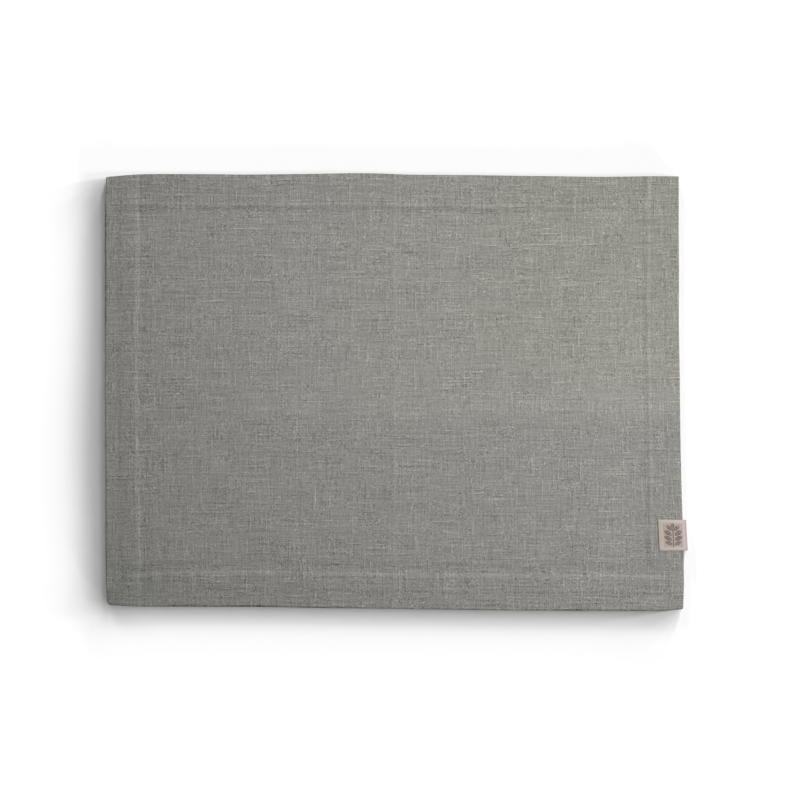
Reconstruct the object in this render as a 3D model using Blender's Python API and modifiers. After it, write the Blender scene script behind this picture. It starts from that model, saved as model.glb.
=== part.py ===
"""A fabric placemat that lies flat: one rectangle of linen with a wide hem on all four
sides, and a short tape label folded round its right edge.

Metres, +Z up. +X runs to the right and +Y away from the person who sits at the mat. The
tables are in millimetres, as a seamstress would measure, from the middle of the plain
rectangle. The finished part is then centred on the origin, its underside at z = 0.
"""

from collections import namedtuple

import bmesh
import bpy
import mathutils
import numpy as np

MM = 0.001

# Driving dimensions, in millimetres.
MAT_WIDTH = 500.0           # the plain rectangle that the real edges wander about
MAT_DEPTH = 376.0
CLOTH = 1.0                 # one layer of linen
HEM_EXTRA = 1.2             # what the turned-in layers add under the band
CORNER_EXTRA = 0.35         # the share of it that two crossing hems add once more
SIDE_HEM = 27.5             # width of the band on the plain rectangle
CROSS_HEM = 28.0
FLAP_END = 0.4              # the turned-in layers end within this, seen from below
PANEL = 29.0                # about this far between the lines of the open cloth
CORNER_LINES = (2.5, 4.0)   # insets of the lines that shape the round corners
EASE_REACH = 9.0            # how far each way a table's turns are smoothed out
SHARP_ANGLE = 50.0          # degrees

LABEL_TAPE = 1.0
LABEL_LENGTH = 24.0         # from its sewn end to its fold, across the mat's edge
LABEL_HEIGHT = 27.0         # along the mat's edge
LABEL_DRAW_IN = 0.65        # how much lower each side stands at the fold
LABEL_MIDDLE = -124.5       # its place along the mat's edge
LABEL_GAP = 0.3             # between the tape and the cloth, above and below
LABEL_MARGIN = 1.5          # level stretch of cloth on each side of the lower leg
LABEL_RAMP = 15.0           # over which the cloth then comes down to the table
FOLD_STEPS = 8

HALF_WIDTH = MAT_WIDTH / 2
HALF_DEPTH = MAT_DEPTH / 2
LINE_X = HALF_WIDTH - SIDE_HEM
LINE_Y = HALF_DEPTH - CROSS_HEM
LIFT = LABEL_TAPE + LABEL_GAP

LINEN = (0.242, 0.242, 0.216, 1.0)
TAPE = (0.552, 0.485, 0.440, 1.0)

# How far each edge stands out of the plain rectangle, read along it. The mat is a little
# wider at its lower end, and its lower edge hangs down towards the right.
EdgeRow = namedtuple("EdgeRow", "along out")
TOP_EDGE = (
    EdgeRow(along=-250, out=-1.6),
    EdgeRow(along=-239, out=-0.2),
    EdgeRow(along=-218, out=1.4),
    EdgeRow(along=-168, out=1.5),
    EdgeRow(along=-133, out=1.0),
    EdgeRow(along=-81, out=1.5),
    EdgeRow(along=-33, out=2.1),
    EdgeRow(along=10, out=0.9),
    EdgeRow(along=75, out=0.5),
    EdgeRow(along=118, out=-0.3),
    EdgeRow(along=180, out=-1.0),
    EdgeRow(along=233, out=-0.5),
    EdgeRow(along=250, out=-1.2),
)
BOTTOM_EDGE = (
    EdgeRow(along=-250, out=-2.9),
    EdgeRow(along=-229, out=-1.9),
    EdgeRow(along=-168, out=-1.6),
    EdgeRow(along=-124, out=-1.9),
    EdgeRow(along=-29, out=-1.5),
    EdgeRow(along=-7, out=-0.2),
    EdgeRow(along=58, out=1.2),
    EdgeRow(along=110, out=1.7),
    EdgeRow(along=235, out=2.1),
    EdgeRow(along=250, out=0.1),
)
LEFT_EDGE = (
    EdgeRow(along=-188, out=0.9),
    EdgeRow(along=-94, out=1.5),
    EdgeRow(along=-7, out=1.3),
    EdgeRow(along=167, out=1.0),
    EdgeRow(along=188, out=-0.4),
)
RIGHT_EDGE = (
    EdgeRow(along=-188, out=0.7),
    EdgeRow(along=-172, out=1.5),
    EdgeRow(along=-141, out=1.6),
    EdgeRow(along=-107, out=0.4),
    EdgeRow(along=-55, out=-1.0),
    EdgeRow(along=-7, out=-1.8),
    EdgeRow(along=49, out=-2.7),
    EdgeRow(along=188, out=-2.7),
)

# How far each hem's stitched line stands inwards of its plain place, read along it.
LineRow = namedtuple("LineRow", "along inward")
TOP_LINE = (
    LineRow(along=-223, inward=-1.3),
    LineRow(along=0, inward=-0.4),
    LineRow(along=75, inward=1.0),
    LineRow(along=180, inward=-1.2),
    LineRow(along=223, inward=-1.0),
)
BOTTOM_LINE = (
    LineRow(along=-223, inward=5.6),
    LineRow(along=-118, inward=3.8),
    LineRow(along=0, inward=1.5),
    LineRow(along=101, inward=-0.8),
    LineRow(along=223, inward=-0.8),
)
LEFT_LINE = (
    LineRow(along=-163, inward=1.9),
    LineRow(along=0, inward=-1.0),
    LineRow(along=171, inward=0.3),
)
RIGHT_LINE = (
    LineRow(along=-160, inward=-2.3),
    LineRow(along=-86, inward=-1.9),
    LineRow(along=50, inward=0.4),
    LineRow(along=171, inward=0.3),
)

# The share of the hem's extra layers under the cloth, read inwards across the stitched
# line. The raw edge is tucked back about halfway into the hem, so the inner half of the
# band has one more layer and ends in a low soft ridge, where the cloth comes down to the
# table.
HemRow = namedtuple("HemRow", "past_line share")
HEM_PROFILE = (
    HemRow(past_line=-17.0, share=0.72),
    HemRow(past_line=-13.5, share=1.0),
    HemRow(past_line=-2.0, share=1.08),
    HemRow(past_line=0.0, share=0.95),
    HemRow(past_line=2.2, share=0.4),
    HemRow(past_line=5.0, share=0.0),
)
RIDGE = max(HEM_PROFILE, key=lambda row: row.share)

# The folded outer edge is round: the share of its full thickness, read inwards.
RollRow = namedtuple("RollRow", "inset share")
EDGE_ROLL = (
    RollRow(inset=0.0, share=0.4),
    RollRow(inset=0.4, share=0.85),
    RollRow(inset=1.2, share=1.0),
)

# Each corner's rounding, seen from above. The lower left one is turned least sharply.
CornerRow = namedtuple("CornerRow", "side_x side_y radius")
CORNERS = (
    CornerRow(side_x=-1, side_y=1, radius=1.0),
    CornerRow(side_x=1, side_y=1, radius=1.0),
    CornerRow(side_x=-1, side_y=-1, radius=4.0),
    CornerRow(side_x=1, side_y=-1, radius=1.6),
)

# The creases left by folding the mat in four, then the low swells between the hems.
SwellRow = namedtuple("SwellRow", "x y reach_x reach_y rise")
SWELLS = (
    SwellRow(x=2, y=-70, reach_x=4, reach_y=120, rise=0.35),
    SwellRow(x=-1, y=110, reach_x=5, reach_y=60, rise=0.18),
    SwellRow(x=60, y=-25, reach_x=150, reach_y=7, rise=0.16),
    SwellRow(x=-130, y=70, reach_x=60, reach_y=45, rise=0.25),
    SwellRow(x=-110, y=-80, reach_x=70, reach_y=40, rise=0.20),
    SwellRow(x=110, y=60, reach_x=75, reach_y=60, rise=0.28),
    SwellRow(x=140, y=-95, reach_x=50, reach_y=38, rise=0.22),
)
CREASE_COLUMNS = (-3.0, 2.0, 7.0)
CREASE_ROWS = (-33.0, -25.0, -17.0)

# The label sits a little askew: the place of its sewn end and of its fold, read along Y
# from its middle.
LabelRow = namedtuple("LabelRow", "along sewn_end fold")
LABEL_SLANT = (
    LabelRow(along=-LABEL_HEIGHT / 2, sewn_end=230.9, fold=254.9),
    LabelRow(along=LABEL_HEIGHT / 2, sewn_end=229.7, fold=253.4),
)


def read(rows, place, column):
    """One named column of a table at a place along its first column."""
    first = rows[0]._fields[0]
    places = [getattr(row, first) for row in rows]
    values = [getattr(row, column) for row in rows]
    return float(np.interp(place, places, values))


def ease(rows, place, column):
    """The same, as a running mean that takes the corners off the line."""
    nearby = np.linspace(place - EASE_REACH, place + EASE_REACH, 7)
    return float(np.mean([read(rows, spot, column) for spot in nearby]))


def new_collection(name):
    collection = bpy.data.collections.new(name)
    bpy.context.scene.collection.children.link(collection)
    return collection


def cloth_material(name, colour, roughness):
    material = bpy.data.materials.new(name)
    material.use_nodes = True
    shader = material.node_tree.nodes["Principled BSDF"]
    shader.inputs["Base Color"].default_value = colour
    shader.inputs["Roughness"].default_value = roughness
    shader.inputs["Metallic"].default_value = 0.0
    return material


def new_part(bm, name, collection, material):
    """Turn a bmesh in millimetres into a smooth-shaded object in metres."""
    bmesh.ops.scale(bm, verts=bm.verts, vec=(MM, MM, MM))
    bmesh.ops.recalc_face_normals(bm, faces=bm.faces)
    mesh = bpy.data.meshes.new(name)
    bm.to_mesh(mesh)
    bm.free()
    mesh.shade_smooth()
    mesh.set_sharp_from_angle(angle=np.radians(SHARP_ANGLE))
    mesh.materials.append(material)
    part = bpy.data.objects.new(name, mesh)
    collection.objects.link(part)
    return part


# --- The mat -------------------------------------------------------------------------


def fold_lines(half, line, others):
    """Where the cloth needs a row or column of points: close together at its rolled
    edges and hem lines, and a panel apart between them."""
    insets = [row.inset for row in EDGE_ROLL[1:]] + list(CORNER_LINES)
    out = [half - inset for inset in insets]
    out += [line - row.past_line for row in HEM_PROFILE] + [line - FLAP_END]
    open_half = line - HEM_PROFILE[-1].past_line
    panels = round(2 * open_half / PANEL)
    places = [place * side for place in out for side in (-1, 1)]
    places += np.linspace(-open_half, open_half, panels + 1)[1:-1].tolist()
    return sorted(places + list(others))


def cut_block(columns, rows):
    """A flat block, cut through at every column and row."""
    bm = bmesh.new()
    bmesh.ops.create_cube(bm, size=1.0)
    bmesh.ops.scale(bm, verts=bm.verts, vec=(MAT_WIDTH, MAT_DEPTH, 1.0))
    cuts = [((column, 0, 0), (1, 0, 0)) for column in columns]
    cuts += [((0, row, 0), (0, 1, 0)) for row in rows]
    for point, normal in cuts:
        geometry = bm.verts[:] + bm.edges[:] + bm.faces[:]
        bmesh.ops.bisect_plane(bm, geom=geometry, plane_co=point, plane_no=normal)
    return bm


def round_corner(x, y):
    """Draw the square corner of the plain rectangle in to a round one."""
    for corner in CORNERS:
        across = (x * corner.side_x - HALF_WIDTH) / corner.radius + 1
        along = (y * corner.side_y - HALF_DEPTH) / corner.radius + 1
        if across > 0 and along > 0:
            draw_in_x = across * (1 - (1 - along**2 / 2) ** 0.5)
            draw_in_y = along * (1 - (1 - across**2 / 2) ** 0.5)
            x -= corner.side_x * draw_in_x * corner.radius
            y -= corner.side_y * draw_in_y * corner.radius
    return x, y


def true_place(x, y):
    """Carry a point of the plain rectangle to where the cloth has it: the edges and hem
    lines wander, and what lies between them follows in proportion."""
    plain_x = (-HALF_WIDTH, -LINE_X, 0, LINE_X, HALF_WIDTH)
    plain_y = (-HALF_DEPTH, -LINE_Y, 0, LINE_Y, HALF_DEPTH)
    true_x = (
        -HALF_WIDTH - ease(LEFT_EDGE, y, "out"),
        -LINE_X + ease(LEFT_LINE, y, "inward"),
        0,
        LINE_X - ease(RIGHT_LINE, y, "inward"),
        HALF_WIDTH + ease(RIGHT_EDGE, y, "out"),
    )
    true_y = (
        -HALF_DEPTH - ease(BOTTOM_EDGE, x, "out"),
        -LINE_Y + ease(BOTTOM_LINE, x, "inward"),
        0,
        LINE_Y - ease(TOP_LINE, x, "inward"),
        HALF_DEPTH + ease(TOP_EDGE, x, "out"),
    )
    x, y = round_corner(x, y)
    return float(np.interp(x, plain_x, true_x)), float(np.interp(y, plain_y, true_y))


def hem_share(x, y):
    """How much of the hem's extra layers is at a point of the plain rectangle."""
    side = read(HEM_PROFILE, LINE_X - abs(x), "share")
    cross = read(HEM_PROFILE, LINE_Y - abs(y), "share")
    return max(side, cross) + CORNER_EXTRA * min(side, cross)


def swell(x, y):
    """The creases and low swells at a point, which die away under the hems."""
    rise = 0.0
    for row in SWELLS:
        away = ((x - row.x) / row.reach_x) ** 2 + ((y - row.y) / row.reach_y) ** 2
        rise += row.rise * float(np.exp(-away))
    return rise * max(0.0, 1 - hem_share(x, y))


def label_lift(x, y):
    """How far the cloth is held off the table by the label's lower leg."""
    level = LABEL_HEIGHT / 2 + LABEL_MARGIN
    ridge = LINE_X - RIDGE.past_line
    across = float(np.interp(x, (ridge - LABEL_RAMP, ridge), (0, 1)))
    aside = abs(y - LABEL_MIDDLE)
    return LIFT * across * float(np.interp(aside, (level, level + LABEL_RAMP), (1, 0)))


def cloth_faces(x, y):
    """The heights of the cloth's underside and top at a point of the plain rectangle."""
    layers = HEM_EXTRA * hem_share(x, y)
    in_open_cloth = min(LINE_X - abs(x), LINE_Y - abs(y)) > FLAP_END / 2
    under = layers if in_open_cloth else 0.0
    top = layers + CLOTH + swell(x, y)
    inset = min(HALF_WIDTH - abs(x), HALF_DEPTH - abs(y))
    middle = (top + under) / 2
    half = (top - under) / 2 * read(EDGE_ROLL, inset, "share")
    lift = label_lift(x, y)
    return middle - half + lift, middle + half + lift


def make_mat(collection):
    level = LABEL_HEIGHT / 2 + LABEL_MARGIN
    asides = (-level - LABEL_RAMP, -level, level, level + LABEL_RAMP)
    label_rows = [LABEL_MIDDLE + aside for aside in asides]
    columns = fold_lines(HALF_WIDTH, LINE_X, CREASE_COLUMNS)
    rows = fold_lines(HALF_DEPTH, LINE_Y, list(CREASE_ROWS) + label_rows)
    bm = cut_block(columns, rows)
    for vert in bm.verts:
        x, y = vert.co.x, vert.co.y
        under, top = cloth_faces(x, y)
        height = top if vert.co.z > 0 else under
        vert.co = (*true_place(x, y), height)
    return new_part(bm, "mat_cloth", collection, cloth_material("linen", LINEN, 0.9))


# --- The label -----------------------------------------------------------------------


def label_path():
    """The tape's middle line seen from its side: out along the table, round the mat's
    edge in a half circle, and back over the hem."""
    cavity = CLOTH + HEM_EXTRA * RIDGE.share + 2 * LABEL_GAP
    radius = (cavity + LABEL_TAPE) / 2
    low = LABEL_TAPE / 2
    centre_x = LABEL_LENGTH - LABEL_TAPE / 2 - radius
    turn = np.linspace(-np.pi / 2, np.pi / 2, FOLD_STEPS + 1)
    bend = [(centre_x + radius * np.cos(a), low + radius + radius * np.sin(a)) for a in turn]
    return [(0.0, low)] + bend + [(0.0, low + 2 * radius)]


def make_label(collection):
    bm = bmesh.new()
    foot = -LABEL_HEIGHT / 2
    points = [bm.verts.new((x, foot, z)) for x, z in label_path()]
    edges = [bm.edges.new(pair) for pair in zip(points, points[1:])]
    wall = bmesh.ops.extrude_edge_only(bm, edges=edges)["geom"]
    raised = [item for item in wall if isinstance(item, bmesh.types.BMVert)]
    bmesh.ops.translate(bm, verts=raised, vec=(0, LABEL_HEIGHT, 0))
    for vert in bm.verts:
        along = vert.co.y
        share = vert.co.x / LABEL_LENGTH
        sewn_end = read(LABEL_SLANT, along, "sewn_end")
        fold = read(LABEL_SLANT, along, "fold")
        vert.co.x = sewn_end + share * (fold - sewn_end)
        vert.co.y = LABEL_MIDDLE + along - np.sign(along) * LABEL_DRAW_IN * share
    label = new_part(bm, "side_label", collection, cloth_material("tape", TAPE, 0.85))
    thickness = label.modifiers.new("tape", "SOLIDIFY")
    thickness.thickness = LABEL_TAPE * MM
    thickness.offset = 0.0
    thickness.use_even_offset = True
    return label


def centre_on_origin(parts, collection):
    """Hang the parts on an empty that brings the middle of their footprint to 0, 0."""
    graph = bpy.context.evaluated_depsgraph_get()
    corners = []
    for part in parts:
        shaped = part.evaluated_get(graph)
        corners += [shaped.matrix_world @ mathutils.Vector(c) for c in shaped.bound_box]
    middle_x = (min(c.x for c in corners) + max(c.x for c in corners)) / 2
    middle_y = (min(c.y for c in corners) + max(c.y for c in corners)) / 2
    holder = bpy.data.objects.new("placemat_origin", None)
    holder.location = (-middle_x, -middle_y, 0.0)
    collection.objects.link(holder)
    for part in parts:
        part.parent = holder
    print("middle of the footprint:", round(middle_x, 6), round(middle_y, 6))


def main():
    for thing in list(bpy.data.objects):
        bpy.data.objects.remove(thing, do_unlink=True)
    placemat = new_collection("placemat")
    parts = [make_mat(placemat), make_label(placemat)]
    centre_on_origin(parts, placemat)


main()
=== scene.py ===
# %% [markdown]
# # A linen placemat, seen from straight above
#
# The real mat is one rectangle of coarse sage grey linen. Its four edges are turned in
# twice towards the back, pressed and stitched, and a short tape label is folded round its
# right edge. This lesson cuts the cloth flat, folds it as a seamstress would, gives it a
# woven material, and lays it on a white table under soft studio light.
#
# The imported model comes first. It is the fixed frame that every piece has to fit.

# %% Load the frame
from collections import namedtuple

import bmesh
import bpy
import numpy as np
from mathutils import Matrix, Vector, noise
from mathutils.bvhtree import BVHTree


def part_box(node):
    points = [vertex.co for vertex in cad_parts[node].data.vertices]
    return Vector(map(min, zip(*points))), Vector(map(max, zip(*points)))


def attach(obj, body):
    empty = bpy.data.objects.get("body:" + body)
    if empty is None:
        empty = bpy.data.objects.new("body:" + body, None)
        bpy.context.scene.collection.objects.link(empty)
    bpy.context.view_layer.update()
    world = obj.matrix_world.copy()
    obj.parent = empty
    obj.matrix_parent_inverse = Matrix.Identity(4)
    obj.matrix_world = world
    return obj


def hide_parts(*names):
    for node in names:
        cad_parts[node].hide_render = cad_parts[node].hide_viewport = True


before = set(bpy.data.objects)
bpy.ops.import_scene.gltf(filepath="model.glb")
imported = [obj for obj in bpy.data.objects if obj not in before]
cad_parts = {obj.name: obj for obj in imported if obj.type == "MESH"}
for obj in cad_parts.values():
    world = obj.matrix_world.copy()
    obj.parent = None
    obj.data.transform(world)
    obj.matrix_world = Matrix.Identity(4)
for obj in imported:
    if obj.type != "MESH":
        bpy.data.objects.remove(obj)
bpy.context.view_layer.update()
MM = 0.001

# %% [markdown]
# ## The outline
#
# Handmade edges are never straight. Each table says how far an edge, or the pressed line
# of a hem, stands off a plain rectangle of 500 by 376 mm. All tables are in millimetres
# from the middle of that rectangle, with X to the right and Y away from the diner.

# %% Sizes and edge tables
MAT_WIDTH, MAT_DEPTH = 500.0, 376.0
HALF_WIDTH, HALF_DEPTH = MAT_WIDTH / 2, MAT_DEPTH / 2
LINE_X, LINE_Y = HALF_WIDTH - 27.5, HALF_DEPTH - 28.0
EASE_REACH, EASE_STEPS = 9.0, 7

Edge = namedtuple("Edge", "along out")
TOP_EDGE = [
    Edge(-250, -1.4), Edge(-239, 0.1), Edge(-218, 1.5), Edge(-168, 1.5), Edge(-133, 1.0),
    Edge(-81, 1.5), Edge(-33, 2.4), Edge(-10, 2.0), Edge(10, 1.0), Edge(75, 0.5),
    Edge(118, -0.15), Edge(150, -0.55), Edge(180, -1.0), Edge(233, -0.3), Edge(250, -0.6),
]
BOTTOM_EDGE = [
    Edge(-250, -3.4), Edge(-229, -1.9), Edge(-168, -1.6), Edge(-124, -1.7), Edge(-95, -1.2),
    Edge(-64, -0.6), Edge(-29, -0.2), Edge(-7, 0.0), Edge(20, 0.4), Edge(58, 1.0),
    Edge(110, 1.65), Edge(235, 2.1), Edge(250, 0.1),
]
LEFT_EDGE = [
    Edge(-188, -1.0), Edge(-172, -0.2), Edge(-137, 0.5), Edge(-94, 0.4), Edge(-50, 0.5),
    Edge(-7, 0.8), Edge(140, 1.0), Edge(167, 0.8), Edge(188, -0.4),
]
RIGHT_EDGE = [
    Edge(-188, 1.0), Edge(-172, 1.9), Edge(-141, 1.7), Edge(-107, 0.5), Edge(-55, -0.9),
    Edge(-7, -1.5), Edge(30, -2.0), Edge(60, -2.6), Edge(105, -2.35), Edge(140, -2.7),
    Edge(188, -2.7),
]

Line = namedtuple("Line", "along inward")
TOP_LINE = [Line(-223, -1.3), Line(0, -0.4), Line(75, 1.0), Line(180, -1.2), Line(223, -1.0)]
BOTTOM_LINE = [
    Line(-223, 1.5), Line(-202, 3.0), Line(-180, 3.8), Line(-118, 3.8), Line(-72, 3.2),
    Line(-29, 3.0), Line(14, 2.0), Line(49, 1.5), Line(84, 1.2), Line(170, 1.2), Line(223, 0.4),
]
LEFT_LINE = [Line(-163, 1.9), Line(0, -1.0), Line(171, 0.3)]
RIGHT_LINE = [Line(-160, -2.3), Line(-86, -1.9), Line(50, 0.4), Line(171, 0.3)]

Corner = namedtuple("Corner", "side_x side_y radius")
CORNERS = [Corner(-1, 1, 1.0), Corner(1, 1, 1.0), Corner(-1, -1, 4.3), Corner(1, -1, 1.6)]


def read(rows, places):
    """The second column of a table at many places along its first."""
    firsts, seconds = zip(*[(row[0], row[1]) for row in rows])
    return np.interp(places, firsts, seconds)


def ease(rows, places):
    """The same with its turns rounded off, as cloth rounds them: a running mean."""
    shifts = np.linspace(-EASE_REACH, EASE_REACH, EASE_STEPS)
    return np.mean([read(rows, places + shift) for shift in shifts], axis=0)


print("lower left corner stands out by", ease(LEFT_EDGE, np.array([-188.0])))

# %% [markdown]
# ## Laying points where the cloth has them
#
# The folds are easiest to plan on the plain rectangle. `true_place` then carries every
# point to where the uneven cloth has it: the edges and the hem lines follow their tables,
# what lies between follows in proportion, and the corners are drawn in round.


# %% From the plain rectangle to the real outline
def stretch(places, plain, true):
    """Piecewise linear, with its own true stops at every point. The first and last piece
    go on past their ends."""
    result = np.array(places, dtype=float)
    for k in range(len(plain) - 1):
        low, high = plain[k], plain[k + 1]
        share = (places - low) / (high - low)
        here = places >= low if k else np.full(np.shape(places), True)
        result = np.where(here, true[k] + share * (true[k + 1] - true[k]), result)
    return result


def round_corners(x, y):
    """Draw each square corner of the plain rectangle in to a round one."""
    for corner in CORNERS:
        across = (x * corner.side_x - HALF_WIDTH) / corner.radius + 1
        along = (y * corner.side_y - HALF_DEPTH) / corner.radius + 1
        inside = (across > 0) & (along > 0)
        across, along = np.clip(across, 0, 1), np.clip(along, 0, 1)
        in_x = across * (1 - np.sqrt(1 - along**2 / 2)) * corner.radius
        in_y = along * (1 - np.sqrt(1 - across**2 / 2)) * corner.radius
        x = np.where(inside, x - corner.side_x * in_x, x)
        y = np.where(inside, y - corner.side_y * in_y, y)
    return x, y


def true_place(x, y):
    """Where points of the plain rectangle lie on the real mat, in millimetres."""
    x, y = np.asarray(x, dtype=float), np.asarray(y, dtype=float)
    true_x = [
        -HALF_WIDTH - ease(LEFT_EDGE, y),
        -LINE_X + ease(LEFT_LINE, y),
        np.zeros_like(y),
        LINE_X - ease(RIGHT_LINE, y),
        HALF_WIDTH + ease(RIGHT_EDGE, y),
    ]
    true_y = [
        -HALF_DEPTH - ease(BOTTOM_EDGE, x),
        -LINE_Y + ease(BOTTOM_LINE, x),
        np.zeros_like(x),
        LINE_Y - ease(TOP_LINE, x),
        HALF_DEPTH + ease(TOP_EDGE, x),
    ]
    x, y = round_corners(x, y)
    plain_x = (-HALF_WIDTH, -LINE_X, 0, LINE_X, HALF_WIDTH)
    plain_y = (-HALF_DEPTH, -LINE_Y, 0, LINE_Y, HALF_DEPTH)
    return stretch(x, plain_x, true_x), stretch(y, plain_y, true_y)


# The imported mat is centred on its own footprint, label included, so the tables' middle lies
# off to a side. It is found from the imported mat's left edge, which stands out from the plain
# rectangle by LEFT_MOST at most, and from its top edge, which stands out by TOP_MOST.
LEFT_MOST, TOP_MOST = 1.48, 1.93
mat_low, mat_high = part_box("mat_cloth")
TABLE_MIDDLE = Vector((
    mat_low[0] / MM + HALF_WIDTH + LEFT_MOST, mat_high[1] / MM - HALF_DEPTH - TOP_MOST, 0,
))
print("the tables' middle in the frame, mm:", [round(c, 3) for c in TABLE_MIDDLE])

# %% [markdown]
# ## How the cloth stacks up
#
# Seen in section, a double turned hem has three layers: the face, the raw edge tucked
# back between them, and the flap at the bottom. The tuck reaches only about halfway to
# the outer edge, so the face sinks a little there, and beyond the hem line it comes down
# to the table in a long soft slope. `BAND` gives the face's height as a share of those
# extra layers, read inwards past the pressed line. A modifier could bend the cloth too,
# but a table of heights is easier to set against a photograph.

# %% Layers of the hem, in millimetres
CLOTH = 0.6
SLACK = 0.07
STEP = CLOTH + SLACK
TUCK = 13.0
FLAP_END = 0.4
CORNER_BULK, CORNER_FILL, CORNER_FULL = 0.08, 2.2, 1.02
TRIM, SIDE_TRIM = 5.0, 1.5

Band = namedtuple("Band", "past_line share")
BAND = [
    Band(-28, 0.76), Band(-27, 0.85), Band(-25, 0.88), Band(-16.5, 0.88), Band(-13.6, 0.99),
    Band(-2, 1.05), Band(0, 0.98), Band(1, 0.85), Band(3, 0.46), Band(5, 0.24), Band(8, 0.10),
    Band(13, 0.03), Band(19, 0),
]

Swell = namedtuple("Swell", "x y reach_x reach_y rise")
SWELLS = [
    Swell(2, -70, 4, 120, 0.35), Swell(-1, 110, 5, 60, 0.18), Swell(60, -25, 150, 7, 0.16),
    Swell(-130, 70, 60, 45, 0.25), Swell(-110, -80, 70, 40, 0.20),
    Swell(110, 60, 75, 60, 0.28), Swell(140, -95, 50, 38, 0.22),
]

LABEL_TAPE = 0.4
LABEL_LIFT = LABEL_TAPE + 0.05
LABEL_HEIGHT = 27.4
LABEL_MIDDLE = -124.1
LABEL_LEVEL, LABEL_RAMP = LABEL_HEIGHT / 2 + 1.5, 15.0
LABEL_RIDGE = LINE_X + 2

Curl = namedtuple("Curl", "middle reach rise start")
CURL = Curl(-45, 80, 0.5, LINE_X - 20)
COCKLE_RISE, COCKLE_X, COCKLE_Y = 0.10, 21, 17
print("hem height, mm:", round(CLOTH + 2 * STEP, 2))


# %% The height of the cloth's face
def band_share(x, y):
    """How much of the hem's extra height is at a place, with a little more where two
    hems cross."""
    side = read(BAND, LINE_X - np.abs(x))
    cross = read(BAND, LINE_Y - np.abs(y))
    higher, lower = np.maximum(side, cross), np.minimum(side, cross)
    filled = np.minimum(CORNER_FULL, CORNER_FILL * lower)
    return np.maximum(higher + CORNER_BULK * lower, filled)


def swell(x, y):
    """The creases from folding the mat in four, and the low swells between the hems."""
    rise = np.zeros_like(x)
    for row in SWELLS:
        away = ((x - row.x) / row.reach_x) ** 2 + ((y - row.y) / row.reach_y) ** 2
        rise = rise + row.rise * np.exp(-away)
    return rise * np.clip(1 - band_share(x, y), 0, 1)


def edge_lift(x, y):
    """How far the cloth is held off the table: by the label's lower leg at the right, and
    by its own stiffness along a stretch of the left hem."""
    across = np.interp(x, (LABEL_RIDGE - LABEL_RAMP, LABEL_RIDGE), (0, 1))
    aside = np.abs(y - LABEL_MIDDLE)
    lift = LABEL_LIFT * across * np.interp(aside, (LABEL_LEVEL, LABEL_LEVEL + LABEL_RAMP), (1, 0))
    curl = CURL.rise * np.exp(-(((y - CURL.middle) / CURL.reach) ** 2))
    return lift + curl * np.interp(-x, (CURL.start, HALF_WIDTH), (0, 1))


def cockle(x, y):
    """Small unevenness that pressing leaves in linen, always upwards."""
    places = [Vector((a / COCKLE_X, b / COCKLE_Y, 3)) for a, b in zip(x, y)]
    return COCKLE_RISE * np.array([0.5 + 0.5 * noise.noise(place) for place in places])


def face_height(x, y):
    """The height of the middle of the cloth's top layer."""
    layers = CLOTH / 2 + 2 * STEP * band_share(x, y)
    return layers + swell(x, y) + cockle(x, y)


spot = np.array([0.0])
print("the middle of the face lies at, mm:", face_height(spot, spot).round(2))

# %% [markdown]
# ## Folding the cloth
#
# A `Stop` is one line drawn across the flat cut. It knows how far out it is along the
# cloth (`cut`, kept for the weave), where it ends up seen from above (`place`), and how
# far round the folds it has gone (`turn`): 0 on the face, 0 to 1 round the outer edge, 1 on
# the flap, 1 to 2 round the inner fold and 2 on the tuck.

# %% The stops across half of the cut
Stop = namedtuple("Stop", "cut place turn")
Run = namedtuple("Run", "past_line step")
FACE_RUNS = [Run(-24, 3.6), Run(-6, 2.6), Run(3, 1.2), Run(12, 3), Run(18, 1.2)]
BAND_STEP, RIM, RIM_STEP, FLAP_STEP = 2.7, 1.2, 0.6, 3.2
EDGE_BEND, EDGE_BEND_LENGTH, EDGE_STOPS = 0.9, 2.15, 8
INNER_BEND, INNER_STOPS = STEP / 2, 6


def spaced(start, end, step):
    """Places from start up to, but not including, end."""
    count = max(1, round(abs(end - start) / step))
    return np.linspace(start, end, count + 1)[:-1].tolist()


def fold_stops(half, line):
    """The stops of half a cut, from its middle out to its raw edge. They lie closest where
    the cloth bends."""
    edge = half - CLOTH / 2 - EDGE_BEND
    inner = line - FLAP_END + CLOTH / 2 + INNER_BEND
    face, start = [], 0
    runs = [(line + run.past_line, run.step) for run in FACE_RUNS]
    for end, step in runs + [(edge - RIM, BAND_STEP), (edge, RIM_STEP)]:
        face += spaced(start, end, step)
        start = end
    stops = [Stop(place, place, 0.0) for place in face]
    for k in range(EDGE_STOPS):
        stops.append(Stop(edge + EDGE_BEND_LENGTH * k / EDGE_STOPS, edge, k / EDGE_STOPS))
    flap_start = edge + EDGE_BEND_LENGTH
    for place in spaced(edge, inner, FLAP_STEP):
        stops.append(Stop(flap_start + edge - place, place, 1.0))
    inner_start = flap_start + edge - inner
    inner_length = np.pi * INNER_BEND
    for k in range(INNER_STOPS):
        cut = inner_start + inner_length * k / INNER_STOPS
        stops.append(Stop(cut, inner, 1 + k / INNER_STOPS))
    for place in spaced(inner, inner + TUCK, FLAP_STEP) + [inner + TUCK]:
        stops.append(Stop(inner_start + inner_length + place - inner, place, 2.0))
    return stops


def mirrored(stops):
    """Both halves of the cut, with the middle stop once. The left half's places and cut
    are negative."""
    other = [Stop(-s.cut, -s.place, s.turn) for s in reversed(stops[1:])]
    return other + stops


columns = mirrored(fold_stops(HALF_WIDTH, LINE_X))
rows = mirrored(fold_stops(HALF_DEPTH, LINE_Y))

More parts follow.
